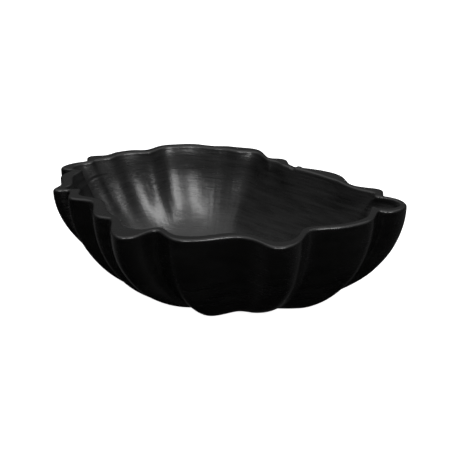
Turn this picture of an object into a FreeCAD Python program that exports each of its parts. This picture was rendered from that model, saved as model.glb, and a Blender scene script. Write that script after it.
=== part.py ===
"""A fluted oval bowl carved from one block of wood, as a parametric FreeCAD document.

The bowl is one piece. Its rim is a scalloped oval of seventeen uneven lobes. Each lobe runs down
the outside as a rib and ends in a foot, so the outline of the base is scalloped too. The hollow
follows the lobes at its mouth and turns into a smooth dish lower down.

Frame: millimetres, +Z up, +X along the bowl's length. The origin is on the table, under the
middle of the bowl.
"""

import FreeCAD
import Part
import Sketcher
import math
import os

# ---------------------------------------------------------------- driving dimensions

DIMENSIONS = {
    "height": 123.0,          # table to the top of the rim
    "floor_thickness": 13.0,  # wood under the deepest point of the hollow
    "rim_round": 2.5,         # radius along both edges of the rim
    "outer_start": 0.0,       # degrees round its ellipse at which the outside leaves the rim, upright
    "outer_turn": 80.0,       # degrees round its ellipse at which the outside reaches the base
    "inner_start": 40.0,      # degrees round its ellipse at which the hollow's wall leaves the rim
    "inner_turn": 86.0,       # degrees round its ellipse at which the hollow's wall reaches its floor
    "centre_x": 16.0,         # where the ribs would meet, under the bowl
    "centre_y": -10.0,
    "valley_foot": 0.82,      # reach of a valley at the base, as a share of the feet beside it
    "hollow_x": -25.0,        # where the hollow's flutes would meet, under its floor
    "hollow_y": -8.0,
    "floor_share": 0.27,      # size of the hollow's flat floor, as a share of its mouth
    "flutes_low": 18.0,       # height where most of the hollow's flutes have faded out
    "flutes_high": 92.0,      # the same on its plain side, where they are shorter
    "plain_side": 38.0,       # degrees from +X to the middle of the plain side
    "plain_core": 22.0,       # degrees from there over which the flutes are all short
    "plain_reach": 42.0,      # degrees from there to where the flutes are all long again
    "flutes_full": 0.70,      # share of the way from there to the rim over which they grow to full depth
}

# One row for each lobe, anticlockwise from the bowl's +X end: the valley before it (x, y), its
# crest (x, y), how far its two flanks swell beyond a straight line, as a share of their length,
# how far its rib's foot stands from the centre of the base, and how thick the rim is at the valley
# and at the crest.
LOBE_COLUMNS = ("valley_x", "valley_y", "crest_x", "crest_y", "swell_before", "swell_after", "foot",
                "valley_wall", "crest_wall")
LOBES = [
    (179, -5, 204, 16, 0.22, 0.15, 79, 13, 8),
    (175, 36, 171, 51, 0.10, -0.04, 74, 10, 14),
    (135, 59, 117, 82, 0.04, 0.03, 72, 8, 17),
    (62, 94, 51, 109, -0.08, 0.00, 70, 7, 14),
    (29, 112, -10, 133, 0.21, 0.04, 68, 7, 13),
    (-42, 131, -90, 126, 0.06, 0.10, 67, 9, 9),
    (-120, 103, -148, 92, 0.04, 0.05, 65, 10, 10),
    (-163, 78, -182, 69, 0.02, 0.10, 64, 12, 16),
    (-181, 57, -205, 31, 0.10, 0.15, 61, 9, 15),
    (-191, 27, -198, 10, 0.00, 0.00, 55, 13, 15),
    (-191, -9, -195, -28, -0.02, 0.10, 46, 13, 15),
    (-177, -27, -171, -45, 0.00, -0.02, 94, 14, 15),
    (-143, -50, -131, -80, 0.00, 0.06, 77, 14, 18),
    (-111, -86, -90, -126, 0.09, 0.11, 42, 11, 26),
    (-55, -102, -22, -119, 0.08, 0.02, 54, 10, 12),
    (36, -98, 80, -114, -0.03, 0.16, 36, 11, 15),
    (109, -68, 164, -37, 0.03, 0.04, 78, 10, 10),
]

CORNERS_PER_LOBE = 4    # a valley, a shoulder, a crest and a shoulder
STATIONS_PER_LOBE = 8   # points taken on each lobe for a section's curve
SOFT_REACH = 1          # stations to each side over which the hollow's flutes are softened
OUTER_LEVELS = 8        # steps of the outside, from under the rounded rim down to the base
INNER_LEVELS = 9        # steps of the hollow, from under the rounded rim down to its floor
ROUND_LEVELS = 3        # steps of the rim's rounding


def fill_sheet(document):
    """Writes the dimensions and the lobes into a spreadsheet, each in a cell with an alias."""
    sheet = document.addObject("Spreadsheet::Sheet", "Dimensions")
    cells = list(DIMENSIONS.items())
    for number, lobe in enumerate(LOBES, 1):
        cells += [(f"lobe_{number}_{name}", value) for name, value in zip(LOBE_COLUMNS, lobe)]
    for row, (alias, value) in enumerate(cells, 1):
        sheet.set(f"A{row}", alias)
        sheet.set(f"B{row}", str(value))
        sheet.setAlias(f"B{row}", alias)
    document.recompute()
    return sheet


def read_lobes(sheet):
    """The lobes as the sheet has them now, each as a dictionary."""
    lobes = []
    for number in range(1, len(LOBES) + 1):
        lobe = {name: float(sheet.get(f"lobe_{number}_{name}")) for name in LOBE_COLUMNS}
        lobe["valley"] = FreeCAD.Vector(lobe["valley_x"], lobe["valley_y"], 0)
        lobe["crest"] = FreeCAD.Vector(lobe["crest_x"], lobe["crest_y"], 0)
        lobes.append(lobe)
    return lobes


# ---------------------------------------------------------------- outlines


def unit(vector):
    """The vector at length 1."""
    return FreeCAD.Vector(vector).normalize()


def closed_curve(points, knots):
    """A smooth closed curve through the points."""
    curve = Part.BSplineCurve()
    curve.interpolate(Points=points, Parameters=knots, PeriodicFlag=True)
    return curve


def centripetal(points):
    """Knots for a closed curve through the points, spaced by the root of their distances."""
    knots = [0.0]
    for start, end in zip(points, points[1:] + points[:1]):
        knots.append(knots[-1] + math.sqrt((end - start).Length))
    return knots


def shoulder(start, end, swell):
    """A point half way along a flank, moved out by swell times the flank's length."""
    flank = end - start
    return start + flank * 0.5 + FreeCAD.Vector(flank.y, -flank.x, 0) * swell


class Outline:
    """A scalloped outline: a smooth closed curve through every lobe's valley, crest and shoulders."""

    def __init__(self, lobes):
        self.lobes = lobes
        self.corners = []
        for lobe, following in zip(lobes, lobes[1:] + lobes[:1]):
            self.corners.append(lobe["valley"])
            self.corners.append(shoulder(lobe["valley"], lobe["crest"], lobe["swell_before"]))
            self.corners.append(lobe["crest"])
            self.corners.append(shoulder(lobe["crest"], following["valley"], lobe["swell_after"]))
        self.knots = centripetal(self.corners)
        self.curve = closed_curve(self.corners, self.knots)

    def normal(self, corner):
        """The normal at a corner, into the outline."""
        tangent = self.curve.tangent(self.knots[corner])[0]
        return unit(FreeCAD.Vector(-tangent.y, tangent.x, 0))

    def normals(self):
        """For each lobe, the normals at its valley and at its crest."""
        valleys = range(0, len(self.corners), CORNERS_PER_LOBE)
        return [(self.normal(corner), self.normal(corner + CORNERS_PER_LOBE // 2)) for corner in valleys]

    def rebuilt(self, moves):
        """A new outline, with each lobe's valley and crest moved by its pair of vectors."""
        lobes = []
        for lobe, (valley_move, crest_move) in zip(self.lobes, moves):
            lobes.append(dict(lobe, valley=lobe["valley"] + valley_move, crest=lobe["crest"] + crest_move))
        return Outline(lobes)

    def moved_in(self, distance):
        """The outline with its valleys and crests moved in along their normals."""
        moves = [(at_valley * distance, at_crest * distance) for at_valley, at_crest in self.normals()]
        return self.rebuilt(moves)

    def mouth(self, centre):
        """The hollow's outline at the rim. Each crest is moved in by its wall along its normal, and each
        valley half way between its normal and the way to the centre, so that a deep notch keeps its wall."""
        moves = []
        for lobe, (at_valley, at_crest) in zip(self.lobes, self.normals()):
            way = unit(at_valley + unit(centre - lobe["valley"]))
            moves.append((way * lobe["valley_wall"], at_crest * lobe["crest_wall"]))
        return self.rebuilt(moves)

    def stations(self):
        """The curve's points at its corners, and evenly between them."""
        return stations(self.curve, self.knots)


def between(knots):
    """The knots, with more parameters evenly between them."""
    steps = STATIONS_PER_LOBE // CORNERS_PER_LOBE
    parameters = []
    for start, end in zip(knots, knots[1:]):
        parameters += [start + (end - start) * step / steps for step in range(steps)]
    return parameters + [knots[-1]]


def stations(curve, knots):
    """Points of a closed curve, the last one left out because it is the first again."""
    return [curve.value(parameter) for parameter in between(knots)[:-1]]


def foot_stations(rim, centre, valley_foot):
    """The stations of the base: a foot under each crest, and less reach under each valley."""
    feet = [lobe["foot"] for lobe in rim.lobes]
    valleys = [valley_foot * (feet[k - 1] + feet[k]) / 2 for k in range(len(feet))]
    reaches = []
    for foot, valley, following in zip(feet, valleys, valleys[1:] + valleys[:1]):
        reaches += [valley, (valley + foot) / 2, foot, (foot + following) / 2]
    points = [centre + unit(corner - centre) * reach for corner, reach in zip(rim.corners, reaches)]
    return stations(closed_curve(points, rim.knots), rim.knots)


def averaged(points, reach):
    """The closed outline evened out over a number of stations to each side of every point."""
    offsets = range(-reach, reach + 1)
    weights = [1 + math.cos(math.pi * offset / (reach + 1)) for offset in offsets]
    even = []
    for k in range(len(points)):
        total = FreeCAD.Vector()
        for offset, weight in zip(offsets, weights):
            total += points[(k + offset) % len(points)] * weight
        even.append(total * (1 / sum(weights)))
    return even


def smooth_step(value):
    """0 below 0, 1 above 1 and an even S-shaped rise between."""
    value = min(1.0, max(0.0, value))
    return value * value * (3 - 2 * value)


def flute_ends(points, centre, sheet):
    """The height where the flutes have faded out below each point of the mouth."""
    core = math.cos(math.radians(sheet.plain_core))
    edge = math.cos(math.radians(sheet.plain_reach))
    ends = []
    for point in points:
        way = unit(point - centre)
        turn = math.atan2(way.y, way.x) - math.radians(sheet.plain_side)
        plainness = smooth_step((math.cos(turn) - edge) / (core - edge))
        ends.append(sheet.flutes_low + (sheet.flutes_high - sheet.flutes_low) * plainness)
    return ends


# ---------------------------------------------------------------- sections


class Wall:
    """A wall's run from under the rim to nearly level at its lowest edge, as part of an ellipse."""

    def __init__(self, sheet, levels, side, low_name):
        self.levels = levels
        self.side = side
        self.start = math.radians(sheet.get(f"{side}_start"))
        self.full = math.radians(sheet.get(f"{side}_turn"))
        self.low = sheet.get(low_name) if low_name else 0.0
        self.high = sheet.height - sheet.rim_round
        self.low_text = f"Dimensions.{low_name} * 1mm" if low_name else "0mm"

    def angle(self, level):
        """How far round the ellipse the level is."""
        return self.start + level / self.levels * (self.full - self.start)

    def share(self, level):
        """How far out the wall is: 1 at level 0, under the rim, and 0 at its lowest edge."""
        end = math.cos(self.full)
        return (math.cos(self.angle(level)) - end) / (math.cos(self.start) - end)

    def height(self, level):
        """The level's height in millimetres."""
        top = math.sin(self.start)
        sunk = (math.sin(self.angle(level)) - top) / (math.sin(self.full) - top)
        return self.high - (self.high - self.low) * sunk

    def height_text(self, level):
        """The level's height as an expression on the sheet."""
        start = f"(Dimensions.{self.side}_start * 1deg)"
        full = f"(Dimensions.{self.side}_turn * 1deg)"
        angle = f"({start} + {level} / {self.levels} * ({full} - {start}))"
        sunk = f"(sin({angle}) - sin({start})) / (sin({full}) - sin({start}))"
        high = "(Dimensions.height - Dimensions.rim_round) * 1mm"
        return f"{high} - ({high} - {self.low_text}) * {sunk}"


def add_section(body, name, points, knots, height_text):
    """A sketch that holds one closed outline, level, at the height that an expression gives."""
    sketch = body.newObject("Sketcher::SketchObject", name)
    base_plane = next(f for f in body.Origin.OriginFeatures if f.Role == "XY_Plane")
    sketch.AttachmentSupport = [(base_plane, "")]
    sketch.MapMode = "FlatFace"
    sketch.setExpression("AttachmentOffset.Base.z", height_text)
    sketch.addGeometry(closed_curve(points, knots), False)
    sketch.addConstraint(Sketcher.Constraint("Block", 0))
    return sketch


def rounding_sections(body, name, outline, sheet, side):
    """Sketches of a rim edge's rounding, upwards. Side is 1 outside the wall and -1 in the hollow."""
    radius = sheet.rim_round
    knots = between(outline.knots)
    sketches = []
    for level in range(ROUND_LEVELS + 1):
        angle = math.radians(90 * level / ROUND_LEVELS)
        inset = side * radius * (1 - math.cos(angle))
        height = f"(Dimensions.height - Dimensions.rim_round * (1 - sin({level} / {ROUND_LEVELS} * 90deg)))"
        points = outline.moved_in(inset).stations()
        sketches.append(add_section(body, f"{name}{level}", points, knots, f"{height} * 1mm"))
    return sketches


def outer_sections(body, rim, centre, sheet):
    """Sketches of the outside, from the base up to the rim's rounding."""
    wall = Wall(sheet, OUTER_LEVELS, "outer", None)
    knots = between(rim.knots)
    feet = foot_stations(rim, centre, sheet.valley_foot)
    sketches = []
    for level in range(OUTER_LEVELS, -1, -1):
        points = [foot + (top - foot) * wall.share(level) for foot, top in zip(feet, rim.stations())]
        sketches.append(add_section(body, f"OutsideLevel{level}", points, knots, wall.height_text(level)))
    return sketches


def inner_sections(body, mouth, centre, sheet):
    """Sketches of the hollow, from its floor up to the rim's rounding."""
    wall = Wall(sheet, INNER_LEVELS, "inner", "floor_thickness")
    knots = between(mouth.knots)
    edge = mouth.stations()
    soft = averaged(edge, SOFT_REACH)
    plain = averaged(edge, STATIONS_PER_LOBE)
    floor = [centre + (point - centre) * sheet.floor_share for point in plain]
    ends = flute_ends(plain, centre, sheet)
    sketches = []
    for level in range(INNER_LEVELS, -1, -1):
        share = wall.share(level)
        points = []
        for low, smooth, scalloped, end in zip(floor, plain, soft if level else edge, ends):
            growth = (wall.height(level) - end) / (sheet.flutes_full * (wall.high - end))
            flute = (scalloped - smooth) * smooth_step(growth)
            points.append(low + (smooth - low + flute) * share)
        sketches.append(add_section(body, f"HollowLevel{level}", points, knots, wall.height_text(level)))
    return sketches


# ---------------------------------------------------------------- the bowl


def add_loft(body, kind, name, sketches):
    """A smooth loft through the sketches, added to the body or cut out of it."""
    body.Document.recompute()
    loft = body.newObject(f"PartDesign::{kind}", name)
    loft.Profile = sketches[0]
    loft.Sections = sketches[1:]
    loft.Ruled = False
    body.Document.recompute()


def build_bowl(document, sheet):
    """The bowl's body: its outside is added and its hollow is cut out, each as a wall and a rounded edge."""
    centre = FreeCAD.Vector(sheet.centre_x, sheet.centre_y, 0)
    hollow_centre = FreeCAD.Vector(sheet.hollow_x, sheet.hollow_y, 0)
    rim = Outline(read_lobes(sheet))
    mouth = rim.mouth(centre)

    body = document.addObject("PartDesign::Body", "Bowl")
    body.Label = "bowl"
    add_loft(body, "AdditiveLoft", "Outside", outer_sections(body, rim, centre, sheet))
    rounding = rounding_sections(body, "OutsideRound", rim, sheet, 1)
    add_loft(body, "AdditiveLoft", "OutsideRounding", rounding)
    block_volume = body.Shape.Volume
    add_loft(body, "SubtractiveLoft", "Hollow", inner_sections(body, mouth, hollow_centre, sheet))
    rounding = rounding_sections(body, "HollowRound", mouth, sheet, -1)
    add_loft(body, "SubtractiveLoft", "HollowRounding", rounding)
    if body.Shape.Volume > 0.5 * block_volume:
        raise RuntimeError("the hollow was not cut")

    box = body.Shape.optimalBoundingBox(False)
    body.Placement.Base = FreeCAD.Vector(-box.Center.x, -box.Center.y, -box.ZMin)
    document.recompute()
    return body


def check(document, parts):
    """Stops with a message if an object of the document failed or a part is not one sound solid."""
    for item in document.Objects:
        if {"Invalid", "Error"} & set(item.State):
            raise RuntimeError(f"{item.Name} is {item.State}")
    for part in parts:
        shape = part.Shape
        if shape.isNull() or not shape.isValid() or len(shape.Solids) != 1:
            raise RuntimeError(f"{part.Label} is not one valid solid")


def main():
    document = FreeCAD.newDocument("FlutedBowl")
    sheet = fill_sheet(document)
    bowl = build_bowl(document, sheet)
    check(document, [bowl])
    os.makedirs("parts", exist_ok=True)
    bowl.Shape.exportStep(f"parts/{bowl.Label}.step")
    box = bowl.Shape.optimalBoundingBox(False)
    print(f"{bowl.Label}: {box.XLength:.1f} x {box.YLength:.1f} x {box.ZLength:.1f} mm")


main()
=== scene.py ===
"""The looks of a scalloped bowl carved from black-stained wood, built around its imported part.

Metres, +Z up, +X along the bowl's length. The camera stands in front of the bowl, a little to the
right and well above the rim.
"""

import math

import bpy
import numpy as np
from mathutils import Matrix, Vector, noise


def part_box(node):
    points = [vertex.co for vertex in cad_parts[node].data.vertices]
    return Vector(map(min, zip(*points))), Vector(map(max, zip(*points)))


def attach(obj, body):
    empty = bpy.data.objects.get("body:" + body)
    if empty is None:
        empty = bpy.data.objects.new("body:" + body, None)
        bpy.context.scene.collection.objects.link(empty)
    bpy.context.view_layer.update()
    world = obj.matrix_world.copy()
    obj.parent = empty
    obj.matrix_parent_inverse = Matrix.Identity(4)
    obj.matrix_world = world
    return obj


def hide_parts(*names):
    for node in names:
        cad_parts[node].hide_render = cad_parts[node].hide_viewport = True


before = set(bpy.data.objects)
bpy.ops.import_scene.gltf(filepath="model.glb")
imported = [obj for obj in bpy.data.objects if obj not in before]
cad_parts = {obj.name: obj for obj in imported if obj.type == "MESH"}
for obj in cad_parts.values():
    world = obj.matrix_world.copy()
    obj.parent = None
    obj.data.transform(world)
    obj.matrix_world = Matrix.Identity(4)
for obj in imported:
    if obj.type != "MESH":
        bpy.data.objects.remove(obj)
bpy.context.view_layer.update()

MM = 0.001
LOW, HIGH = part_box("bowl")
MIDDLE = (LOW + HIGH) / 2
HALF = (HIGH - LOW) / 2
RIM_HEIGHT = HIGH.z


def spot(along, across, up):
    """A place in the bowl, as shares of its half length, its half width and its height."""
    return Vector((MIDDLE.x + along * HALF.x, MIDDLE.y + across * HALF.y, LOW.z + up * 2 * HALF.z))


RIB_CENTRE = spot(0.08, -0.105, 0)          # where the ribs would meet, under the bowl
FLUTE_CENTRE = spot(-0.12, -0.09, 0)        # where the flutes would meet, under the hollow's floor


# ---------------------------------------------------------------- camera


def direction(azimuth, elevation):
    """The way from the bowl to something. Azimuth 0 is in front, at -Y, and 90 at the right, at +X."""
    a = math.radians(azimuth)
    e = math.radians(elevation)
    return Vector((math.sin(a) * math.cos(e), -math.cos(a) * math.cos(e), math.sin(e)))


def look(thing, target):
    """Turns a camera or a light so that it faces the target, with its top up."""
    thing.rotation_euler = (target - thing.location).to_track_quat("-Z", "Y").to_euler()


def add_camera():
    """A long lens in front, above the rim. The bowl's rim fills most of the picture's width."""
    data = bpy.data.cameras.new("camera")
    data.sensor_width = 36.0
    data.lens = 110.5
    camera = bpy.data.objects.new("camera", data)
    rim_middle = spot(0.03, -0.03, 1)
    camera.location = rim_middle + direction(12, 26) * 1.6
    look(camera, rim_middle - Vector((0, 0, 44.7 * MM)))
    bpy.context.scene.collection.objects.link(camera)
    bpy.context.scene.camera = camera


# ---------------------------------------------------------------- the carved wood

SMOOTHED_AWAY = 0.3 * MM        # how far the smoothing draws the skin in


def settle(thing):
    """Makes what the thing's modifiers do to its mesh lasting."""
    mesh = bpy.data.meshes.new_from_object(thing.evaluated_get(bpy.context.evaluated_depsgraph_get()))
    mesh.name = thing.name
    thing.modifiers.clear()
    thing.data = mesh


def remeshed_bowl(voxel=1.0 * MM):
    """A copy of the part's bowl as an even, finely divided skin."""
    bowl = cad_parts["bowl"].copy()
    bowl.data = bowl.data.copy()
    bowl.name = bowl.data.name = "carved_bowl"
    for key in list(bowl.keys()):
        del bowl[key]
    bowl.parent = None
    bpy.context.scene.collection.objects.link(bowl)
    remesh = bowl.modifiers.new("even", "REMESH")
    remesh.mode = "VOXEL"
    remesh.voxel_size = voxel
    remesh.use_smooth_shade = True
    smooth = bowl.modifiers.new("smooth", "SMOOTH")
    smooth.factor = 0.5
    smooth.iterations = 6
    settle(bowl)
    bowl.data.materials.clear()
    return bowl


def read_points(mesh):
    """The mesh's points and their normals, as arrays."""
    points = np.empty(len(mesh.vertices) * 3)
    normals = np.empty(len(mesh.vertices) * 3)
    mesh.vertices.foreach_get("co", points)
    mesh.vertices.foreach_get("normal", normals)
    return points.reshape(-1, 3), normals.reshape(-1, 3)


def wander(points, size, seed):
    """Smooth noise at each point, mostly between -0.5 and 0.5. Size is its features' in X, Y and Z."""
    scaled = points / np.array(size) + np.array((7.3, 3.1, 5.7)) * seed
    return np.array([noise.noise(point) for point in scaled.tolist()])


def ramp(values, start, end):
    """0 before the start, 1 after the end and a smooth rise between."""
    share = np.clip((values - start) / (end - start), 0, 1)
    return share * share * (3 - 2 * share)


def near(points, place, radius):
    """1 at the place, fading to 0 at the radius."""
    return 1 - ramp(np.linalg.norm(points - np.array(place), axis=1), 0.3 * radius, radius)


def inside(points, normals):
    """1 on the hollow's wall, which faces the middle, and 0 on the outside and on level wood."""
    away = points - np.array(RIB_CENTRE)
    away[:, 2] = 0
    away /= np.linalg.norm(away, axis=1)[:, None]
    facing = np.sum(away * normals, axis=1)
    return ramp(-facing, 0.05, 0.4)


def rub_down(bowl, steps=10):
    """Softens the ridges low in the hollow a little, and the one beside its plain side most."""
    points, normals = read_points(bowl.data)
    low = 1 - ramp(points[:, 2], 0.35 * RIM_HEIGHT, 0.75 * RIM_HEIGHT)
    ridge = near(points, spot(0.0, 0.62, 0.45), 60 * MM)
    facing_up = ramp(normals[:, 2], 0.1, 0.3)
    share = np.round(facing_up * np.maximum(0.2 * low, ridge) * steps)
    group = bowl.vertex_groups.new(name="rubbed_down")
    for step in range(1, steps + 1):
        group.add(np.nonzero(share == step)[0].tolist(), step / steps, "REPLACE")
    smooth = bowl.modifiers.new("rubbed_down", "SMOOTH")
    smooth.vertex_group = group.name
    smooth.factor = 0.5
    smooth.iterations = 300
    settle(bowl)
    bowl.vertex_groups.clear()


def scrapes(points):
    """Gouge marks that run down the wall towards the hollow's floor, each a few millimetres wide."""
    away = points - np.array(FLUTE_CENTRE)
    angle = np.arctan2(away[:, 1], away[:, 0])
    polar = np.stack([np.cos(angle), np.sin(angle), away[:, 2]], axis=1)
    width = 0.028               # in radians, as seen from the flutes' centre
    return wander(polar, (width, width, 30 * MM), 3)


def groove(points, start, end, width, bend):
    """How deep a stroke cut from start to end is at each point, 0 to 1, with a raised lip above it."""
    along = np.array(end - start)
    share = np.clip((points - np.array(start)) @ along / (along @ along), 0, 1)
    line = np.array(start) + share[:, None] * along
    line[:, 2] += bend * np.sin(np.pi * share)
    off = points - line
    distance = np.linalg.norm(off, axis=1)
    fade = np.sin(np.pi * np.clip(share, 0.02, 0.98))
    cut = np.exp(-(distance / width) ** 2)
    lip = np.exp(-((distance - 2 * width) / width) ** 2) * (off[:, 2] > 0)
    return (cut - 0.5 * lip) * fade


def carve(bowl):
    """Works the marks of carving and use into the skin. Heights are out of the wood."""
    points, normals = read_points(bowl.data)
    hollow = inside(points, normals)
    unevenness = wander(points, (30 * MM, 30 * MM, 30 * MM), 1)
    dimples = wander(points, (11 * MM, 11 * MM, 11 * MM), 2)
    raised_grain = wander(points, (26 * MM, 2.4 * MM, 2.4 * MM), 4)
    height = 0.35 * MM * unevenness
    height += 0.08 * MM * dimples
    height += 0.05 * MM * scrapes(points)
    height += 0.035 * MM * raised_grain

    dent = groove(points, spot(-0.86, 0.28, 0.825), spot(-0.76, 0.44, 0.84), 1.5 * MM, 3 * MM)
    height -= 0.25 * MM * dent
    end_grain = near(points, spot(0.845, 0.24, 0.99), 16 * MM)
    height += 0.45 * MM * end_grain * wander(points, (1.7 * MM, 1.7 * MM, 4 * MM), 5)
    chip = near(points, spot(0.31, 0.66, 1.0), 5 * MM)
    splinter = near(points, spot(0.345, 0.67, 1.0), 4.5 * MM)
    height += 1.1 * MM * splinter - 1.2 * MM * chip

    height += SMOOTHED_AWAY
    off_table = np.clip((points[:, 2] - LOW.z) / (4 * MM), 0, 1)
    points += normals * (height * off_table)[:, None]
    bowl.data.vertices.foreach_set("co", points.ravel())
    bowl.data.update()
    return points, normals, hollow


def mark_wear_and_highlight(bowl, points, normals, hollow):
    """Stores on the skin where the hollow is, and where the rim's edges are lightened: partly rubbed
    wear, partly painted highlight, most of it at the front.
    """
    at_rim = ramp(points[:, 2], RIM_HEIGHT - 5 * MM, RIM_HEIGHT - 2 * MM)
    on_edge = ramp(normals[:, 2], 0.15, 0.5) * (1 - ramp(normals[:, 2], 0.9, 0.995))
    # Up to four times as much at the front: painted highlight on the lit edge, on top of the wear.
    front_highlight_share = 0.25 + 0.75 * ramp(-points[:, 1], -60 * MM, 20 * MM)
    values = {"wear_and_highlight": at_rim * on_edge * front_highlight_share, "hollow": hollow}
    for name, value in values.items():
        attribute = bowl.data.attributes.new(name, "FLOAT", "POINT")
        attribute.data.foreach_set("value", value.astype(np.float32))


# ---------------------------------------------------------------- materials


class Nodes:
    """Short ways to add and link a material's nodes."""

    def __init__(self, material):
        material.use_nodes = True
        self.tree = material.node_tree
        self.tree.nodes.clear()

    def add(self, kind, inputs=None, **values):
        """A node, with its properties and its inputs set by name."""
        node = self.tree.nodes.new(kind)
        for name, value in values.items():
            setattr(node, name, value)
        for name, value in (inputs or {}).items():
            node.inputs[name].default_value = value
        return node

    def link(self, start, end):
        self.tree.links.new(start, end)

    def noise(self, place, stretch, detail, roughness=0.5):
        """Noise between about 0.3 and 0.7 with so many features to the metre in each direction."""
        mapping = self.add("ShaderNodeMapping", {"Scale": stretch})
        self.link(place, mapping.inputs["Vector"])
        texture = self.add("ShaderNodeTexNoise", {
            "Scale": 1.0, "Detail": detail, "Roughness": roughness,
        })
        self.link(mapping.outputs["Vector"], texture.inputs["Vector"])
        return texture.outputs["Fac"]

    def remap(self, value, from_low, from_high, to_low, to_high):
        """The value moved from one range to another, and held inside it."""
        node = self.add("ShaderNodeMapRange", {
            "From Min": from_low, "From Max": from_high, "To Min": to_low, "To Max": to_high,
        })
        self.link(value, node.inputs["Value"])
        return node.outputs["Result"]

    def maths(self, operation, first, second):
        """Two values joined. The second may be a number."""
        node = self.add("ShaderNodeMath", operation=operation)
        self.link(first, node.inputs[0])
        if isinstance(second, (int, float)):
            node.inputs[1].default_value = second
        else:
            self.link(second, node.inputs[1])
        return node.outputs["Value"]

    def attribute(self, name):
        """A value stored on the mesh."""
        return self.add("ShaderNodeAttribute", attribute_name=name).outputs["Fac"]

    def shaded(self, shader):
        """Sends the shader to the material's output."""
        output = self.add("ShaderNodeOutputMaterial")
        self.link(shader.outputs["BSDF"], output.inputs["Surface"])


def wood_material():
    """Black stain under a satin wax. The grain runs along the bowl's length, with fine open pores. The
    rim's edges are lightened by wear and, mostly at the front, by painted highlight; the grain streaks
    lighten only the hollow's wall, painted light on the lit inside.
    """
    material = bpy.data.materials.new("black_stained_wood")
    nodes = Nodes(material)
    place = nodes.add("ShaderNodeTexCoord").outputs["Object"]
    fibres = nodes.noise(place, (28, 420, 420), 4.0, 0.6)
    bands = nodes.noise(place, (7, 60, 90), 3.0)
    cloud = nodes.noise(place, (24, 24, 24), 3.0)
    streaks = nodes.noise(place, (22, 60, 260), 2.0)
    threads = nodes.noise(place, (14, 40, 380), 1.0)
    speckle = nodes.noise(place, (240, 520, 520), 3.0, 0.65)
    pores = nodes.remap(nodes.noise(place, (90, 1100, 1100), 2.0), 0.60, 0.72, 0.0, 1.0)
    patchy = nodes.remap(cloud, 0.40, 0.62, 0.15, 1.0)
    # Lighter rim edges: rubbed wear, and painted highlight mostly at the front.
    wear_and_highlight = nodes.maths("MULTIPLY", nodes.attribute("wear_and_highlight"), patchy)

    stain = nodes.maths("ADD", nodes.remap(fibres, 0.3, 0.75, 0.0003, 0.0012),
                        nodes.remap(bands, 0.4, 0.7, 0.0, 0.0006))
    # Grain streaks on the hollow's wall only: they lighten its tone against the outside, painted light
    # on the lit inside.
    hollow_grain_and_painted_light = nodes.maths("ADD", nodes.remap(streaks, 0.35, 0.65, 0.0, 0.004),
                       nodes.remap(threads, 0.40, 0.65, 0.0, 0.005))
    hollow_grain_and_painted_light = nodes.maths("MULTIPLY", hollow_grain_and_painted_light, nodes.attribute("hollow"))
    stain = nodes.maths("ADD", stain, hollow_grain_and_painted_light)
    # The rim edges' lightening: wear, and painted highlight.
    wear_and_highlight_tone = nodes.maths("MULTIPLY", wear_and_highlight, 0.003)
    tone = nodes.maths("ADD", stain, wear_and_highlight_tone)
    tone = nodes.maths("MULTIPLY", tone, nodes.remap(pores, 0, 1, 1.0, 0.3))

    dull = nodes.remap(streaks, 0.3, 0.7, 0.42, 0.58)
    dull = nodes.maths("ADD", dull, nodes.remap(fibres, 0.35, 0.7, 0.0, 0.05))
    dull = nodes.maths("ADD", dull, nodes.remap(speckle, 0.4, 0.7, 0.0, 0.04))
    dull = nodes.maths("ADD", dull, nodes.maths("MULTIPLY", pores, 0.15))

    relief = nodes.maths("ADD", fibres, nodes.maths("MULTIPLY", speckle, 0.35))
    relief = nodes.maths("SUBTRACT", relief, nodes.maths("MULTIPLY", pores, 0.3))
    bump = nodes.add("ShaderNodeBump", {"Strength": 0.4, "Distance": 0.2 * MM})
    nodes.link(relief, bump.inputs["Height"])

    shader = nodes.add("ShaderNodeBsdfPrincipled", {
        "Specular IOR Level": 0.14, "Coat Weight": 1.0, "Coat Roughness": 0.24,
    })
    nodes.link(tone, shader.inputs["Base Color"])
    nodes.link(dull, shader.inputs["Roughness"])
    nodes.link(bump.outputs["Normal"], shader.inputs["Normal"])
    nodes.link(bump.outputs["Normal"], shader.inputs["Coat Normal"])
    nodes.shaded(shader)
    return material


def floor_material():
    """A pale matt studio floor that glows a little, as one lit from below."""
    material = bpy.data.materials.new("pale_floor")
    nodes = Nodes(material)
    shader = nodes.add("ShaderNodeBsdfPrincipled", {
        "Base Color": (0.86, 0.86, 0.86, 1), "Roughness": 0.9,
        "Emission Color": (1, 1, 1, 1), "Emission Strength": 1.0,
    })
    nodes.shaded(shader)
    return material


# ---------------------------------------------------------------- studio


def add_floor():
    """A pale floor. Reflections miss it and show the world's darker table instead."""
    size = 12.0
    level = LOW.z - 0.1 * MM        # a hair under the base, so that the two faces don't meet
    mesh = bpy.data.meshes.new("floor")
    corners = [(-size, -size, level), (size, -size, level), (size, size, level), (-size, size, level)]
    mesh.from_pydata(corners, [], [(0, 1, 2, 3)])
    floor = bpy.data.objects.new("floor", mesh)
    mesh.materials.append(floor_material())
    bpy.context.scene.collection.objects.link(floor)
    floor.visible_glossy = False


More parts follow.
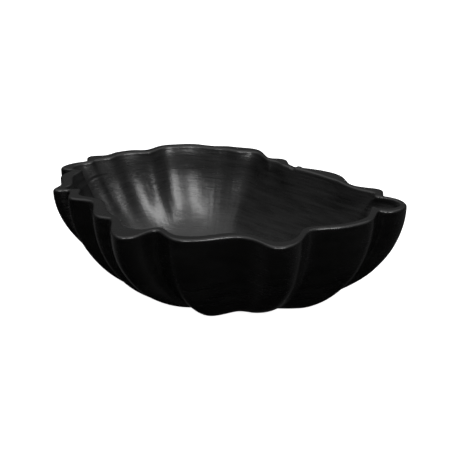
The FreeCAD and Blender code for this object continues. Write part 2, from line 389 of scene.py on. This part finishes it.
def add_light(name, azimuth, elevation, distance, width, height, radiance):
    """A softbox that faces the bowl, with its place in degrees and its sizes in metres. Its radiance
    is what it would look like, with white at 1."""
    data = bpy.data.lights.new(name, "AREA")
    data.shape = "RECTANGLE"
    data.size = width
    data.size_y = height
    data.energy = radiance * math.pi * width * height
    light = bpy.data.objects.new(name, data)
    aim = spot(0, 0, 0.5)
    light.location = aim + direction(azimuth, elevation) * distance
    look(light, aim)
    bpy.context.scene.collection.objects.link(light)


def add_world(above=0.20, table=0.08, under=0.002):
    """A soft grey room over a table that is dark in front of the bowl and pale beside and behind it.
    Z is how far up a direction points, and Y how far back."""
    world = bpy.data.worlds.new("studio")
    bpy.context.scene.world = world
    nodes = Nodes(world)
    place = nodes.add("ShaderNodeTexCoord").outputs["Generated"]
    split = nodes.add("ShaderNodeSeparateXYZ")
    nodes.link(place, split.inputs["Vector"])
    room_share = nodes.remap(split.outputs["Z"], -0.05, 0.60, 0.0, 1.0)
    table_share = nodes.remap(split.outputs["Z"], 0.0, -0.1, 0.0, 1.0)
    beside = nodes.remap(split.outputs["Y"], -0.65, 0.4, 0.0, table)
    far = nodes.remap(split.outputs["Z"], -0.85, -0.45, 0.0, 1.0)
    lower = nodes.maths("ADD", nodes.maths("MULTIPLY", beside, far), under)
    lower = nodes.maths("MULTIPLY", lower, table_share)
    level = nodes.maths("ADD", nodes.maths("MULTIPLY", room_share, above), lower)
    room = nodes.add("ShaderNodeBackground")
    nodes.link(level, room.inputs["Color"])
    output = nodes.add("ShaderNodeOutputWorld")
    nodes.link(room.outputs["Background"], output.inputs["Surface"])


bowl = remeshed_bowl()
rub_down(bowl)
mark_wear_and_highlight(bowl, *carve(bowl))
bowl.data.materials.append(wood_material())
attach(bowl, "root")
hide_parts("bowl")

add_camera()
add_floor()
add_world()
add_light("overhead", 0, 88, 1.9, 3.0, 3.0, 0.7)
add_light("side_softbox", 50, 47, 1.8, 0.25, 0.7, 4.0)
add_light("right_softbox", 38, 46, 1.8, 0.40, 0.65, 9.5)
add_light("front_softbox", -2, 47, 1.8, 0.45, 0.55, 9.5)
bpy.context.scene.view_settings.view_transform = "Standard"
